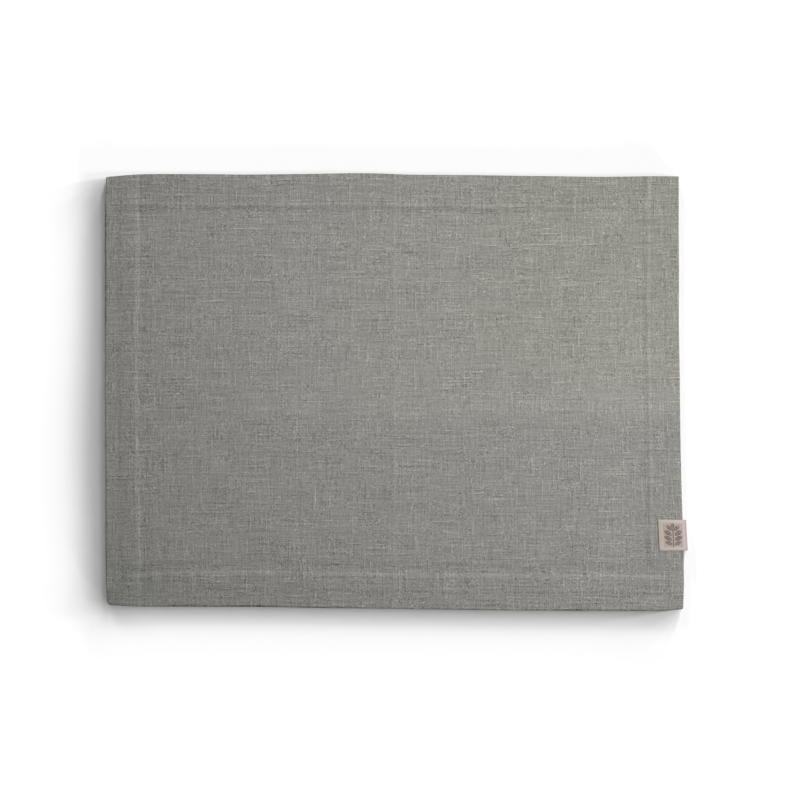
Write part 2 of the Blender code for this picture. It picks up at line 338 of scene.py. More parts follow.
# %% [markdown]
# ## Cutting, trimming and folding
#
# `create_grid` makes the flat cut, one face between each two stops. Before folding, the
# bulk is trimmed from the corners, as a seamstress does, so that no corner has more than
# three layers. The side hems are turned first and the other two over them, so in the
# corners the side flap climbs on the cross flap. Only a quarter turn of the side's outer
# bend goes on round the cross bend and closes the corner.


# %% Where every stop ends up
CLIMB_START, CLIMB_END = LINE_Y - 3.5, LINE_Y - 0.6


def ramp(places, start, end):
    """From 0 at start to 1 at end."""
    return np.clip((places - start) / (end - start), 0, 1)


def lay_cloth(stop_x, stop_y):
    """The place of the cloth's middle layer for pairs of stops, in millimetres."""
    px, ax = np.array([s.place for s in stop_x]), np.array([s.turn for s in stop_x])
    py, ay = np.array([s.place for s in stop_y]), np.array([s.turn for s in stop_y])
    face = face_height(px, py)
    climb = STEP * ramp(np.abs(py), CLIMB_START, CLIMB_END)
    side_flap = CLOTH / 2 + climb
    side_bend = (face - side_flap) / 2
    cross_bend = (face - CLOTH / 2) / 2
    round_x, round_y = np.pi * np.clip(ax, 0, 1), np.pi * np.clip(ay, 0, 1)
    height = face - side_bend * (1 - np.cos(round_x)) * np.clip(np.cos(round_y), 0, 1)
    height = height - cross_bend * (1 - np.cos(round_y))
    back_x, back_y = np.pi * np.clip(ax - 1, 0, 1), np.pi * np.clip(ay - 1, 0, 1)
    height = height + INNER_BEND * (2 - np.cos(back_x) - np.cos(back_y))
    out_x = EDGE_BEND * np.sin(round_x) * np.clip(np.cos(round_y), 0, 1)
    out_y = EDGE_BEND * np.sin(round_y)
    x = px + np.sign(px) * (out_x - INNER_BEND * np.sin(back_x))
    y = py + np.sign(py) * (out_y - INNER_BEND * np.sin(back_y))
    height = height + edge_lift(px, py)
    x, y = true_place(x, y)
    return x + TABLE_MIDDLE.x, y + TABLE_MIDDLE.y, height


def trimmed_off(stop_x, stop_y):
    """True for a face of the cut that the seamstress trims away, from its middle."""
    turn_x, turn_y = stop_x.turn, stop_y.turn
    if turn_x > 0 and turn_y > 0:
        return turn_x > 0.5 or turn_y > 0.5
    if turn_x > 1:
        return abs(stop_y.place) > LINE_Y - TRIM
    if turn_y > 1:
        return abs(stop_x.place) > LINE_X - SIDE_TRIM
    return False


def between(first, second):
    """The stop halfway between two."""
    return Stop(*[(a + b) / 2 for a, b in zip(first, second)])


print("side hems climb on the cross hems from", CLIMB_START, "to", CLIMB_END, "mm")

# %% Cut, trim and fold
bm = bmesh.new()
bmesh.ops.create_grid(bm, x_segments=len(columns) - 1, y_segments=len(rows) - 1, size=0.5)
grid_x = [round((v.co.x + 0.5) * (len(columns) - 1)) for v in bm.verts]
grid_y = [round((v.co.y + 0.5) * (len(rows) - 1)) for v in bm.verts]
stops_x = [columns[i] for i in grid_x]
stops_y = [rows[j] for j in grid_y]
weave_map = bm.loops.layers.uv.new("weave")
for face in bm.faces:
    for loop in face.loops:
        k = loop.vert.index
        loop[weave_map].uv = (stops_x[k].cut * MM, stops_y[k].cut * MM)
waste = []
for face in bm.faces:
    corners = [v.index for v in face.verts]
    low_x, high_x = min(grid_x[k] for k in corners), max(grid_x[k] for k in corners)
    low_y, high_y = min(grid_y[k] for k in corners), max(grid_y[k] for k in corners)
    across = between(columns[low_x], columns[high_x])
    along = between(rows[low_y], rows[high_y])
    if trimmed_off(across, along):
        waste.append(face)
for vert, x, y, z in zip(bm.verts, *lay_cloth(stops_x, stops_y)):
    vert.co = (x * MM, y * MM, z * MM)
bmesh.ops.delete(bm, geom=waste, context="FACES")
bmesh.ops.remove_doubles(bm, verts=bm.verts, dist=0.00001)
bmesh.ops.recalc_face_normals(bm, faces=bm.faces)
print("faces in the folded cloth:", len(bm.faces), "trimmed:", len(waste))


# %% Give it its thickness
def new_piece(bm, name):
    """A smooth shaded object from a bmesh that is already in place, in metres."""
    mesh = bpy.data.meshes.new(name)
    bm.to_mesh(mesh)
    bm.free()
    mesh.shade_smooth()
    piece = bpy.data.objects.new(name, mesh)
    bpy.context.scene.collection.objects.link(piece)
    return piece


def thicken(piece, thickness):
    """Give a sheet its thickness, half to each side."""
    layer = piece.modifiers.new("thickness", "SOLIDIFY")
    layer.thickness = thickness * MM
    layer.offset = 0.0
    layer.use_even_offset = False
    layer.use_rim = True


CUT_AREA = sum(face.calc_area() for face in bm.faces)
# Faces near the origin belong to the open cloth, whose face side has to look up.
open_faces = [f for f in bm.faces if f.calc_center_median().length < 0.02]
if open_faces[0].normal.z < 0:
    bmesh.ops.reverse_faces(bm, faces=bm.faces)
mat_cloth = new_piece(bm, "mat_linen")
thicken(mat_cloth, CLOTH)
print("area of the cut, square metres:", round(CUT_AREA, 4))

# %% [markdown]
# ## The label
#
# The label is a strip of light cotton tape. Its raw end is turned under, it lies on the
# hem, goes round the edge in a soft bend and comes back below. A row of points is drawn
# as its side view and extruded to its height along the mat's edge, which bends it cleanly
# where a box with bevels would need its folds cut by hand.

# %% The label's side view
Slant = namedtuple("Slant", "along sewn_end fold")
SLANTS = [Slant(-13.7, 230.2, 255.2), Slant(13.7, 229.0, 253.8)]
LABEL_LENGTH = 24.0
LABEL_DRAW_IN = 0.45
LABEL_UNDERTURN = 4.5
LABEL_STEP, LABEL_RISE = 2.5, 9
HEM_ROOM, TAPE_ROOM, TURN_ROOM = 0.16, 0.06, 0.04


def arc(centre, low, radius, start, end, count):
    """Points round part of a circle that stands on the height low: how far out, how high."""
    turns = np.linspace(start, end, count)
    return [(centre + radius * np.cos(a), low + radius * (1 + np.sin(a))) for a in turns]


def label_legs():
    """The tape's middle line from its lower end round the edge and onto the hem, with the
    height of the upper leg and the radius of its turned-under end."""
    hem_top = LABEL_LIFT + CLOTH + 2 * STEP + HEM_ROOM
    low, high = LABEL_TAPE / 2, hem_top + LABEL_TAPE / 2 + TAPE_ROOM
    radius = (high - low) / 2
    centre = LABEL_LENGTH - LABEL_TAPE / 2 - radius
    points = [(out, low) for out in spaced(1.5, centre, LABEL_STEP)]
    points += arc(centre, low, radius, -np.pi / 2, np.pi / 2, 11)
    fold_high = high + LABEL_TAPE + TURN_ROOM
    bend = (fold_high - high) / 2
    points += [(out, high) for out in spaced(centre, LABEL_RISE, LABEL_STEP)[1:]]
    return points, high, bend


def label_points():
    """The upper leg is two tapes thick at its sewn end, because the raw end is turned
    under: the tape rises over it, turns down at the end and comes back below."""
    points, high, bend = label_legs()
    rise = [
        (LABEL_RISE, high), (7.5, high + 0.03), (6, high + bend), (4.5, high + 2 * bend - 0.03),
    ]
    points += rise + [(out, high + 2 * bend) for out in spaced(3, 0.3 + bend, 1.2)]
    end = 0.2 + bend
    points += arc(end, high, bend, np.pi / 2, 3 * np.pi / 2, 7)
    points += [(out, high) for out in spaced(end, LABEL_UNDERTURN, 1.2)[1:]]
    return points


path = label_points()
lengths = np.cumsum([0] + [np.hypot(b[0] - a[0], b[1] - a[1]) for a, b in zip(path, path[1:])])
LABEL_TAPE_LENGTH = float(lengths[-1])
print("length of the tape, mm:", round(LABEL_TAPE_LENGTH, 1))

# %% Extrude the label and set it askew
LABEL_ROWS = 14
bm = bmesh.new()
foot = [bm.verts.new((x, 0, z)) for x, z in path]
strip = [bm.edges.new(ends) for ends in zip(foot, foot[1:])]
along_tape = {vert: length for vert, length in zip(foot, lengths)}
for _ in range(LABEL_ROWS):
    grown = bmesh.ops.extrude_edge_only(bm, edges=strip)["geom"]
    new_verts = [g for g in grown if isinstance(g, bmesh.types.BMVert)]
    bmesh.ops.translate(bm, verts=new_verts, vec=(0, LABEL_HEIGHT / LABEL_ROWS, 0))
    new_set = set(new_verts)
    strip = [e for e in grown if isinstance(e, bmesh.types.BMEdge) and set(e.verts) <= new_set]
tape_map = bm.loops.layers.uv.new("weave")
places = {}
for vert in bm.verts:
    nearest = min(foot, key=lambda f: abs(f.co.x - vert.co.x) + abs(f.co.z - vert.co.z))
    places[vert] = (along_tape[nearest] * MM, (vert.co.y - LABEL_HEIGHT / 2) * MM)
for face in bm.faces:
    for loop in face.loops:
        loop[tape_map].uv = places[loop.vert]


def label_place(out, along):
    """Where a point of the straight label lies on the mat, in the frame's millimetres."""
    share = out / LABEL_LENGTH
    sewn_end = np.interp(along, [s.along for s in SLANTS], [s.sewn_end for s in SLANTS])
    fold = np.interp(along, [s.along for s in SLANTS], [s.fold for s in SLANTS])
    x = sewn_end + share * (fold - sewn_end)
    y = LABEL_MIDDLE + along - LABEL_DRAW_IN * share * along / (LABEL_HEIGHT / 2)
    return x + TABLE_MIDDLE.x, y + TABLE_MIDDLE.y


for vert in bm.verts:
    x, y = label_place(vert.co.x, vert.co.y - LABEL_HEIGHT / 2)
    vert.co = (x * MM, y * MM, vert.co.z * MM)
bmesh.ops.recalc_face_normals(bm, faces=bm.faces)
label = new_piece(bm, "label_tape")
thicken(label, LABEL_TAPE)
print("label faces:", len(label.data.polygons))

# %% [markdown]
# ## The stitches
#
# One machine seam runs round the whole mat, just outside the pressed lines, and turns where
# two hems cross. One stitch is a short thread that dips into the cloth at both ends. It is
# modelled once, as a bent tube with a few dozen faces, and a copy is laid at each step of
# the row. An array on a curve would be shorter to write, but it can't find the needle holes:
# here a ray is sent down, or up from below, to the finished cloth at every hole.


# %% One stitch and a row of them
def make_thread():
    """One unit long thread along Z, with rings enough to bend and thin its ends."""
    bm = bmesh.new()
    bmesh.ops.create_cone(
        bm, cap_ends=True, segments=6, radius1=0.5, radius2=0.5, depth=1.0
    )
    for cut in (-0.4, -0.2, 0.0, 0.2, 0.4):
        geometry = bm.verts[:] + bm.edges[:] + bm.faces[:]
        bmesh.ops.bisect_plane(bm, geom=geometry, plane_co=(0, 0, cut), plane_no=(0, 0, 1))
    mesh = bpy.data.meshes.new("one_thread")
    bm.to_mesh(mesh)
    bm.free()
    return mesh


ONE_THREAD = make_thread()
THREAD_TAPER = 0.45


def add_stitch(bm, start, end, width, arch):
    """A thread from start to end, in metres, that stands arch high in its middle."""
    along = end - start
    middle = (start + end) / 2
    side = Vector((along.y, -along.x, 0)).normalized()
    before = len(bm.verts)
    bm.from_mesh(ONE_THREAD)
    bm.verts.ensure_lookup_table()
    for vert in bm.verts[before:]:
        share = vert.co.z
        dip = arch * (1 - (2 * share) ** 2)
        thin = width * (1 - THREAD_TAPER * (2 * abs(share)) ** 3)
        lift = Vector((0, 0, vert.co.y * thin + dip))
        vert.co = middle + along * share + side * (vert.co.x * thin) + lift


def stitch_row(bm, spots, width, arch, gap):
    """Stitches between neighbouring spots of a row, each a little shorter than its step."""
    for start, end in zip(spots, spots[1:]):
        trim = (end - start).normalized() * gap / 2
        add_stitch(bm, start + trim, end - trim, width, arch)


print("faces of one stitch:", len(ONE_THREAD.polygons))

# %% The seam round the mat
STITCH = 3.1
STITCH_GAP = 0.35
STITCH_INSET = 1.6
THREAD = 0.34
FACE_SINK, FACE_ARCH = 0.07, 0.10
BACK_SINK, BACK_ARCH = 0.12, -0.02
RAY_START = 20.0

surface = BVHTree.FromObject(mat_cloth, bpy.context.evaluated_depsgraph_get())


def on_cloth(x, y, top):
    """The needle hole at x, y in the frame's millimetres, sunk a little into the cloth."""
    side = 1 if top else -1
    start = Vector((x * MM, y * MM, side * RAY_START * MM))
    hole = surface.ray_cast(start, Vector((0, 0, -side)))[0]
    return hole - Vector((0, 0, side * (FACE_SINK if top else BACK_SINK) * MM))


def hem_spots(axis, side, top):
    """The needle holes of one hem, on the face or on the flap, in metres."""
    line, other = (LINE_Y, LINE_X) if axis == "x" else (LINE_X, LINE_Y)
    turn = other + STITCH_INSET
    run = np.linspace(-turn, turn, round(2 * turn / STITCH) + 1)
    across = np.full_like(run, side * (line + STITCH_INSET))
    x, y = true_place(run, across) if axis == "x" else true_place(across, run)
    return [on_cloth(a + TABLE_MIDDLE.x, b + TABLE_MIDDLE.y, top) for a, b in zip(x, y)]


def hem_seam(name, top, arch):
    """The whole seam as one piece, as it shows on the face or on the back."""
    bm = bmesh.new()
    for axis in ("x", "y"):
        for side in (-1, 1):
            spots = hem_spots(axis, side, top)
            stitch_row(bm, spots, THREAD * MM, arch * MM, STITCH_GAP * MM)
    return new_piece(bm, name)


hem_stitches = hem_seam("hem_stitches_face", True, FACE_ARCH)
under_stitches = hem_seam("hem_stitches_back", False, BACK_ARCH)
print("faces in the seam:", len(hem_stitches.data.polygons), len(under_stitches.data.polygons))

# %% The label's stitches
LABEL_STITCH, LABEL_GAP = 1.9, 0.3
LABEL_THREAD, LABEL_SINK, LABEL_ARCH = 0.26, 0.04, 0.06
LABEL_SEAM_IN = 1.7
LABEL_SEAM = LABEL_HEIGHT / 2 - 1

label_top = max(v.co.z for v in label.data.vertices) + LABEL_TAPE / 2 * MM
bm = bmesh.new()
spots = []
for along in np.linspace(-LABEL_SEAM, LABEL_SEAM, round(2 * LABEL_SEAM / LABEL_STITCH) + 1):
    x, y = label_place(LABEL_SEAM_IN, along)
    spots.append(Vector((x * MM, y * MM, label_top - LABEL_SINK * MM)))
stitch_row(bm, spots, LABEL_THREAD * MM, LABEL_ARCH * MM, LABEL_GAP * MM)
label_stitches = new_piece(bm, "label_stitches")
print("stitches on the label:", len(spots) - 1)

# %% [markdown]
# ## Helpers for materials
#
# Every surface gets its look from shader nodes. These small helpers keep the node trees
# readable: `sums` adds a Math node, `scaled` moves a value from one range to another,
# `layered` adds a part to a tone at some strength, and `blend_colours` mixes two colours.


# %% Node helpers: numbers
def new_finish(name, roughness, sheen, colour):
    """A cloth material, with its own shader and the values that are the same all over."""
    material = bpy.data.materials.new(name)
    material.use_nodes = True
    shader = material.node_tree.nodes["Principled BSDF"]
    shader.inputs["Roughness"].default_value = roughness
    shader.inputs["Specular IOR Level"].default_value = 0.25
    shader.inputs["Sheen Weight"].default_value = sheen
    shader.inputs["Sheen Roughness"].default_value = 0.5
    shader.inputs["Sheen Tint"].default_value = (1, 1, 1, 1)
    shader.inputs["Base Color"].default_value = colour
    return material, material.node_tree, shader


def fill(tree, socket, value):
    """Put a number or another node's output into a socket."""
    if isinstance(value, bpy.types.NodeSocket):
        tree.links.new(value, socket)
    else:
        socket.default_value = value


def sums(tree, operation, *values):
    """A Math node on numbers or on other nodes' outputs."""
    node = tree.nodes.new("ShaderNodeMath")
    node.operation = operation
    for socket, value in zip(node.inputs, values):
        fill(tree, socket, value)
    return node.outputs[0]


def times(tree, first, second):
    return sums(tree, "MULTIPLY", first, second)


def distance(tree, value, middle=None):
    """How far a value is from a middle, or from 0."""
    if middle is not None:
        value = sums(tree, "SUBTRACT", value, middle)
    return sums(tree, "ABSOLUTE", value)


def centred(tree, value):
    """A value from 0 to 1, moved to lie about 0."""
    return sums(tree, "SUBTRACT", value, 0.5)


def layered(tree, tone, part, strength):
    """The tone with a part added to it at some strength."""
    return sums(tree, "MULTIPLY_ADD", part, strength, tone)


def scaled(tree, value, from_low, from_high, to_low=0.0, to_high=1.0, smooth=True):
    """A value moved from one range to another, clamped, with soft ends unless told."""
    node = tree.nodes.new("ShaderNodeMapRange")
    node.interpolation_type = "SMOOTHSTEP" if smooth else "LINEAR"
    for socket, number in zip(node.inputs, (value, from_low, from_high, to_low, to_high)):
        fill(tree, socket, number)
    return node.outputs[0]


def blend_values(tree, share, first, second):
    """The first value at share 0, the second at 1."""
    node = tree.nodes.new("ShaderNodeMix")
    for socket, value in zip((node.inputs[0], *node.inputs[2:4]), (share, first, second)):
        fill(tree, socket, value)
    return node.outputs[0]


print("number helpers ready")


# %% Node helpers: places and colours
def pair(tree, x, y, z=0.0):
    """A place for a noise to read. Another z gives another noise."""
    node = tree.nodes.new("ShaderNodeCombineXYZ")
    for socket, value in zip(node.inputs, (x, y, z)):
        fill(tree, socket, value)
    return node.outputs[0]


def cloudy(tree, place, scale, detail=2.0, roughness=0.5):
    """Soft noise from about 0 to 1."""
    node = tree.nodes.new("ShaderNodeTexNoise")
    node.noise_dimensions = "3D"
    fill(tree, node.inputs["Vector"], place)
    node.inputs["Scale"].default_value = scale
    node.inputs["Detail"].default_value = detail
    node.inputs["Roughness"].default_value = roughness
    return node.outputs["Fac"]


def speckle(tree, place):
    """A different even random number for every whole-numbered place."""
    node = tree.nodes.new("ShaderNodeTexWhiteNoise")
    node.noise_dimensions = "3D"
    fill(tree, node.inputs["Vector"], place)
    return node.outputs["Value"]


def cloth_place(tree, wander, wander_scale):
    """The place on the flat cut in millimetres, plain and then with the threads' wander:
    the place is shifted a little by soft noise."""
    source = tree.nodes.new("ShaderNodeUVMap")
    source.uv_map = "weave"
    split = tree.nodes.new("ShaderNodeSeparateXYZ")
    tree.links.new(source.outputs[0], split.inputs[0])
    plain_u = times(tree, split.outputs[0], 1000.0)
    plain_v = times(tree, split.outputs[1], 1000.0)
    shift_u = cloudy(tree, pair(tree, plain_u, plain_v), wander_scale, 1.0)
    shift_v = cloudy(tree, pair(tree, plain_v, plain_u, 9.0), wander_scale, 1.0)
    u, v = layered(tree, plain_u, shift_u, wander), layered(tree, plain_v, shift_v, wander)
    return plain_u, plain_v, u, v


def blend_colours(tree, share, first, second, kind="MIX"):
    """The first colour at share 0, the second, or their product, at 1."""
    node = tree.nodes.new("ShaderNodeMix")
    node.data_type = "RGBA"
    node.blend_type = kind
    fill(tree, node.inputs[0], share)
    fill(tree, node.inputs[6], first)
    fill(tree, node.inputs[7], second)
    return node.outputs[2]


def shaded(tree, colour, shade):
    """A colour made lighter or darker by a value about 1."""
    return blend_colours(tree, 1.0, colour, pair(tree, shade, shade, shade), "MULTIPLY")


def link_finish(tree, shader, colour, relief, strength, depth):
    """Give the shader its colour, and a relief that is depth millimetres high."""
    tree.links.new(colour, shader.inputs["Base Color"])
    bump = tree.nodes.new("ShaderNodeBump")
    bump.inputs["Strength"].default_value = strength
    bump.inputs["Distance"].default_value = depth * MM
    tree.links.new(relief, bump.inputs["Height"])
    tree.links.new(bump.outputs[0], shader.inputs["Normal"])


print("place and colour helpers ready")

# %% [markdown]
# ## The weave
#
# A plain weave passes every thread over one and under the next. The material counts the
# threads both ways, finds which one lies on top at each crossing, and gives each thread
# its own tone. Linen yarn is uneven, so a second, stretched noise runs along each thread
# and makes its slubs, and every crossing differs a little from the next. A mesh of real
# threads would have millions of faces, and at this distance it would look the same.

# %% The weave as nodes
Woven = namedtuple("Woven", "tone relief warp weft")
APART = 3.7  # Neighbouring threads lie this far apart in the noise, so they look unrelated.


def rounded(tree, count):
    """The round back of a thread, 0 at its sides and 1 in its middle."""
    return sums(tree, "SINE", times(tree, sums(tree, "FRACT", count), np.pi))


def thread_tone(tree, thread, run, seed, yarn, slub):
    """The tone of one thread, about 0, with slubs along its run."""
    along = sums(tree, "DIVIDE", run, slub)
    lumps = cloudy(tree, pair(tree, times(tree, thread, APART), along, seed), 1.0, 2.0, 0.6)
    own = speckle(tree, pair(tree, thread, seed, 0.5))
    tone = times(tree, centred(tree, own), yarn)
    return layered(tree, tone, centred(tree, lumps), yarn * 3)


def weave(tree, u, v, pitch_u, pitch_v, yarn, slub, grain):
    """The tone of the top thread, about 0, the relief of the weave from 0 to 1, and the
    numbers of the two threads."""
    count_u = sums(tree, "DIVIDE", u, pitch_u)
    count_v = sums(tree, "DIVIDE", v, pitch_v)
    warp, weft = sums(tree, "FLOOR", count_u), sums(tree, "FLOOR", count_v)
    # The sum of the counts is even or odd by turns, so this is 0 or 1 as on a chessboard.
    over = sums(tree, "PINGPONG", sums(tree, "ADD", warp, weft), 1.0)
    warp_tone = thread_tone(tree, warp, v, 11.0, yarn * 0.85, slub)
    weft_tone = thread_tone(tree, weft, u, 47.0, yarn * 1.15, slub)
    tone = blend_values(tree, over, weft_tone, warp_tone)
    spot = speckle(tree, pair(tree, warp, weft, 2.5))
    tone = layered(tree, tone, centred(tree, spot), grain)
    round_u, round_v = rounded(tree, count_u), rounded(tree, count_v)
    high_u = times(tree, round_u, sums(tree, "MULTIPLY_ADD", round_v, 0.5, 0.5))
    high_v = times(tree, round_v, sums(tree, "MULTIPLY_ADD", round_u, 0.5, 0.5))
    return Woven(tone, blend_values(tree, over, high_v, high_u), warp, weft)


print("weave ready")

# %% [markdown]
# ## The linen
#
# The mat is sage grey, of a yarn that mixes lighter and darker fibres. The weave comes
# first, with a grain that is stronger in some places than in others, and with two soft
# noises that mottle it. All of it reads the flat cut, so it turns with the cloth at a fold.

# %% The linen's weave
LINEN_COLOUR = (0.240, 0.235, 0.218, 1)
PITCH_WARP, PITCH_WEFT = 0.74, 0.70
YARN, SLUB, GRAIN = 0.12, 7.0, 0.42
PATCHES, MOTTLE = 0.06, 0.29

linen, tree, shader = new_finish("linen_weave", 0.9, 0.12, LINEN_COLOUR)
plain_u, plain_v, u, v = cloth_place(tree, 1.4, 0.035)
uneven = cloudy(tree, pair(tree, plain_u, plain_v, 21.0), 0.075, 2.0)
uneven = scaled(tree, uneven, 0.32, 0.68, 0.40, 1.75, smooth=False)
grain = times(tree, uneven, GRAIN)
woven = weave(tree, u, v, PITCH_WARP, PITCH_WEFT, YARN, SLUB, grain)
patches = cloudy(tree, pair(tree, plain_u, plain_v), 0.03, 3.0, 0.55)
tone = layered(tree, woven.tone, centred(tree, patches), PATCHES)
mottle = cloudy(tree, pair(tree, plain_u, plain_v, 5.0), 0.90, 0.5, 0.6)
tone = layered(tree, tone, times(tree, centred(tree, mottle), uneven), MOTTLE)
print("threads:", round(MAT_WIDTH / PITCH_WARP), "by", round(MAT_DEPTH / PITCH_WEFT))

# %% [markdown]
# ## Thick threads and loose rows
#
# Here and there a thick thread shows as a light line with a shadow beside it, and where
# the threads are packed unevenly, light and dark rows lie side by side. Both are noises
# stretched along the threads, once for each direction. A wave texture would be simpler,
# but it repeats evenly, and linen doesn't.

# %% Thick threads and loose rows
Streak = namedtuple("Streak", "across run width length seed strength")
THICK_THREADS = [Streak(v, u, 1.05, 20.0, 31.0, 0.39), Streak(u, v, 1.00, 18.0, 61.0, 0.40)]
LOOSE_ROWS = [Streak(v, u, 1.25, 34.0, 33.0, 0.30), Streak(u, v, 0.88, 25.0, 63.0, 0.29)]
STREAK_LIGHT = 0.021


def thick_thread(tree, streak, thread):
    """A light line along some stretches of a thread."""
    aside, along = times(tree, thread, APART), sums(tree, "DIVIDE", streak.run, streak.length)
    thick = cloudy(tree, pair(tree, aside, along, streak.seed), 1.0, 2.5, 0.65)
    own = speckle(tree, pair(tree, thread, streak.seed, 4.5))
    return times(tree, scaled(tree, thick, 0.50, 0.72), own)


def loose_row(tree, streak):
    """Light and dark stripes side by side, the strong ones stronger still."""
    run = sums(tree, "DIVIDE", streak.run, streak.length)
    across = sums(tree, "DIVIDE", streak.across, streak.width)
    line = centred(tree, cloudy(tree, pair(tree, run, across, streak.seed), 1.0, 0.0))
    strong = times(tree, line, distance(tree, line))
    return sums(tree, "MULTIPLY_ADD", strong, 3.5, times(tree, line, 0.7))


for streak in THICK_THREADS:
    thread = sums(tree, "FLOOR", sums(tree, "DIVIDE", streak.across, streak.width))
    light = thick_thread(tree, streak, thread)
    shadow = thick_thread(tree, streak, sums(tree, "ADD", thread, 1.0))
    line = sums(tree, "ADD", light, times(tree, shadow, -0.5))
    tone = layered(tree, tone, line, streak.strength)
tone = sums(tree, "SUBTRACT", tone, STREAK_LIGHT)
for streak in LOOSE_ROWS:
    tone = layered(tree, tone, loose_row(tree, streak), streak.strength)
print("streaks:", len(THICK_THREADS) + len(LOOSE_ROWS))

# %% [markdown]
# ## Marks of pressing and use, and painted shade
#
# The pressed lines of the hems and the middle crease are rubbed lighter. Beside them, where
# the face steps down from the hem, a dark strip is painted shade, and the folds at the mat's
# left and lower edges are painted darker on some stretches, as shade. Each mark is a stripe
# across the cloth that fades in at its start and out at its end, because the lines stop
# where two hems cross. Over all, the hem band is painted a little darker than the single
# layer, as shade for the light from the white table that comes back through one layer but
# not through three, with a faint line where the tucked-in edge ends below.


# %% Marks along the hems and the crease, with painted shade beside them and along the edges
def stripe(tree, place, middle, half_width, soft):
    """1 on a line across the cloth, 0 beside it."""
    return scaled(tree, distance(tree, place, middle), half_width + soft, half_width)


Mark = namedtuple("Mark", "across middle half_width soft run start end fade strength")
# Positive strengths rub the pressed lines and the crease lighter. Negative strengths are painted
# shade.
MARKS = [
    Mark(plain_u, -LINE_X - 0.6, 1.1, 1.6, plain_v, -LINE_Y, 250, 28, 0.14),
    # Painted shade beside the left pressed line, where the face steps down.
    Mark(plain_u, -LINE_X + 6, 3.0, 7.0, plain_v, -LINE_Y, 250, 28, -0.09),
    Mark(plain_u, LINE_X - 0.5, 0.8, 1.6, plain_v, -LINE_Y + 25, 250, 15, 0.155),
    # Painted shade beside the right pressed line, where the face steps down.
    Mark(plain_u, LINE_X - 4.6, 0.9, 2.4, plain_v, -LINE_Y + 25, 250, 15, -0.06),
    Mark(plain_v, -LINE_Y - 0.5, 0.7, 1.7, plain_u, -LINE_X, LINE_X, 20, 0.20),
    # Painted shade beside the lower pressed line, where the face steps down.
    Mark(plain_v, -LINE_Y + 6, 3.0, 7.0, plain_u, -LINE_X, LINE_X, 20, -0.07),
    Mark(plain_v, LINE_Y + 2.6, 0.6, 1.6, plain_u, -LINE_X, 110, 30, 0.085),
    Mark(plain_v, LINE_Y + 0.9, 0.7, 1.6, plain_u, 150, LINE_X, 30, 0.11),
    # Painted shade beside the upper pressed line, in two stretches.
    Mark(plain_v, LINE_Y - 1.6, 1.0, 3.2, plain_u, -LINE_X + 5, 105, 30, -0.08),
    Mark(plain_v, LINE_Y - 1.6, 1.0, 3.2, plain_u, 135, LINE_X, 30, -0.03),
    Mark(plain_u, 1.6, 1.2, 1.6, plain_v, -250, 250, 10, 0.065),
    # Painted shade along the fold of the lower edge, in three marks.
    Mark(plain_v, -HALF_DEPTH + 0.1, 0.7, 0.5, plain_u, -250, 250, 10, -0.25),
    Mark(plain_v, -HALF_DEPTH + 0.3, 0.9, 0.5, plain_u, -175, -75, 25, -0.28),
    Mark(plain_v, -HALF_DEPTH + 0.3, 0.9, 0.5, plain_u, 125, 210, 25, -0.18),
    # Painted shade along the fold of the left edge, in two marks.
    Mark(plain_u, -HALF_WIDTH + 0.3, 0.9, 0.5, plain_v, 65, 155, 15, -0.30),
    Mark(plain_u, -HALF_WIDTH + 0.3, 0.9, 0.5, plain_v, -165, -110, 20, -0.12),
]
rub_and_shade = cloudy(tree, pair(tree, plain_u, plain_v, 8.0), 0.12, 3.0, 0.6)
rub_and_shade = scaled(tree, rub_and_shade, 0.3, 0.7, 0.35, 1.65, smooth=False)
for mark in MARKS:
    line = stripe(tree, mark.across, mark.middle, mark.half_width, mark.soft)
    begun = scaled(tree, mark.run, mark.start - mark.fade, mark.start)
    ended = scaled(tree, mark.run, mark.end, mark.end + mark.fade, 1.0, 0.0)
    line = times(tree, line, times(tree, begun, ended))
    tone = layered(tree, tone, times(tree, line, rub_and_shade), mark.strength)
print("marks:", len(MARKS))

# %% The hem band
TUCK_LINE, TUCK_HALF, TUCK_SOFT, TUCK_SHADE = 14.5, 0.8, 2.2, -0.035
BAND_SHADE = -0.045

away_u = sums(tree, "SUBTRACT", distance(tree, plain_u), LINE_X)
away_v = sums(tree, "SUBTRACT", distance(tree, plain_v), LINE_Y)
for away in (away_u, away_v):
    tone = layered(tree, tone, stripe(tree, away, TUCK_LINE, TUCK_HALF, TUCK_SOFT), TUCK_SHADE)
# Painted shade: the band is made darker, for the light from the white table that comes back
# through one layer of cloth but not through three.
band = scaled(tree, sums(tree, "MAXIMUM", away_u, away_v), -3.0, 1.5, 0.0, BAND_SHADE)
tone = sums(tree, "ADD", tone, band)
print("the tucked-in edge shows", TUCK_LINE, "mm outside the pressed lines")

# %% [markdown]
# ## Painted light and shade over parts of the mat
#
# The mat isn't lit the same all over, and these parts paint that into the colour. The middle
# is painted a little lighter towards its left and right, the upper right quarter is painted
# with a slightly yellower light, and the lower left corner is painted darker, as shade, and
# slightly greener. Each part is a product of two soft ramps along the cloth.

# %% Where light and shade are painted into the colour
CORNER_SHADE = -0.06

# Painted light: the middle is made lighter towards its left and right.
painted_light_left = scaled(tree, plain_u, -180.0, -80.0, 0.0, 0.065)
painted_light_right = scaled(tree, plain_u, 90.0, 230.0, 0.0, 0.05)
painted_light_u = sums(tree, "ADD", painted_light_left, painted_light_right)
painted_light_v = times(
    tree,
    scaled(tree, plain_v, 115.0, -8.0, smooth=False),
    scaled(tree, plain_v, -30.0, -12.0),
)
tone = layered(tree, tone, painted_light_u, painted_light_v)
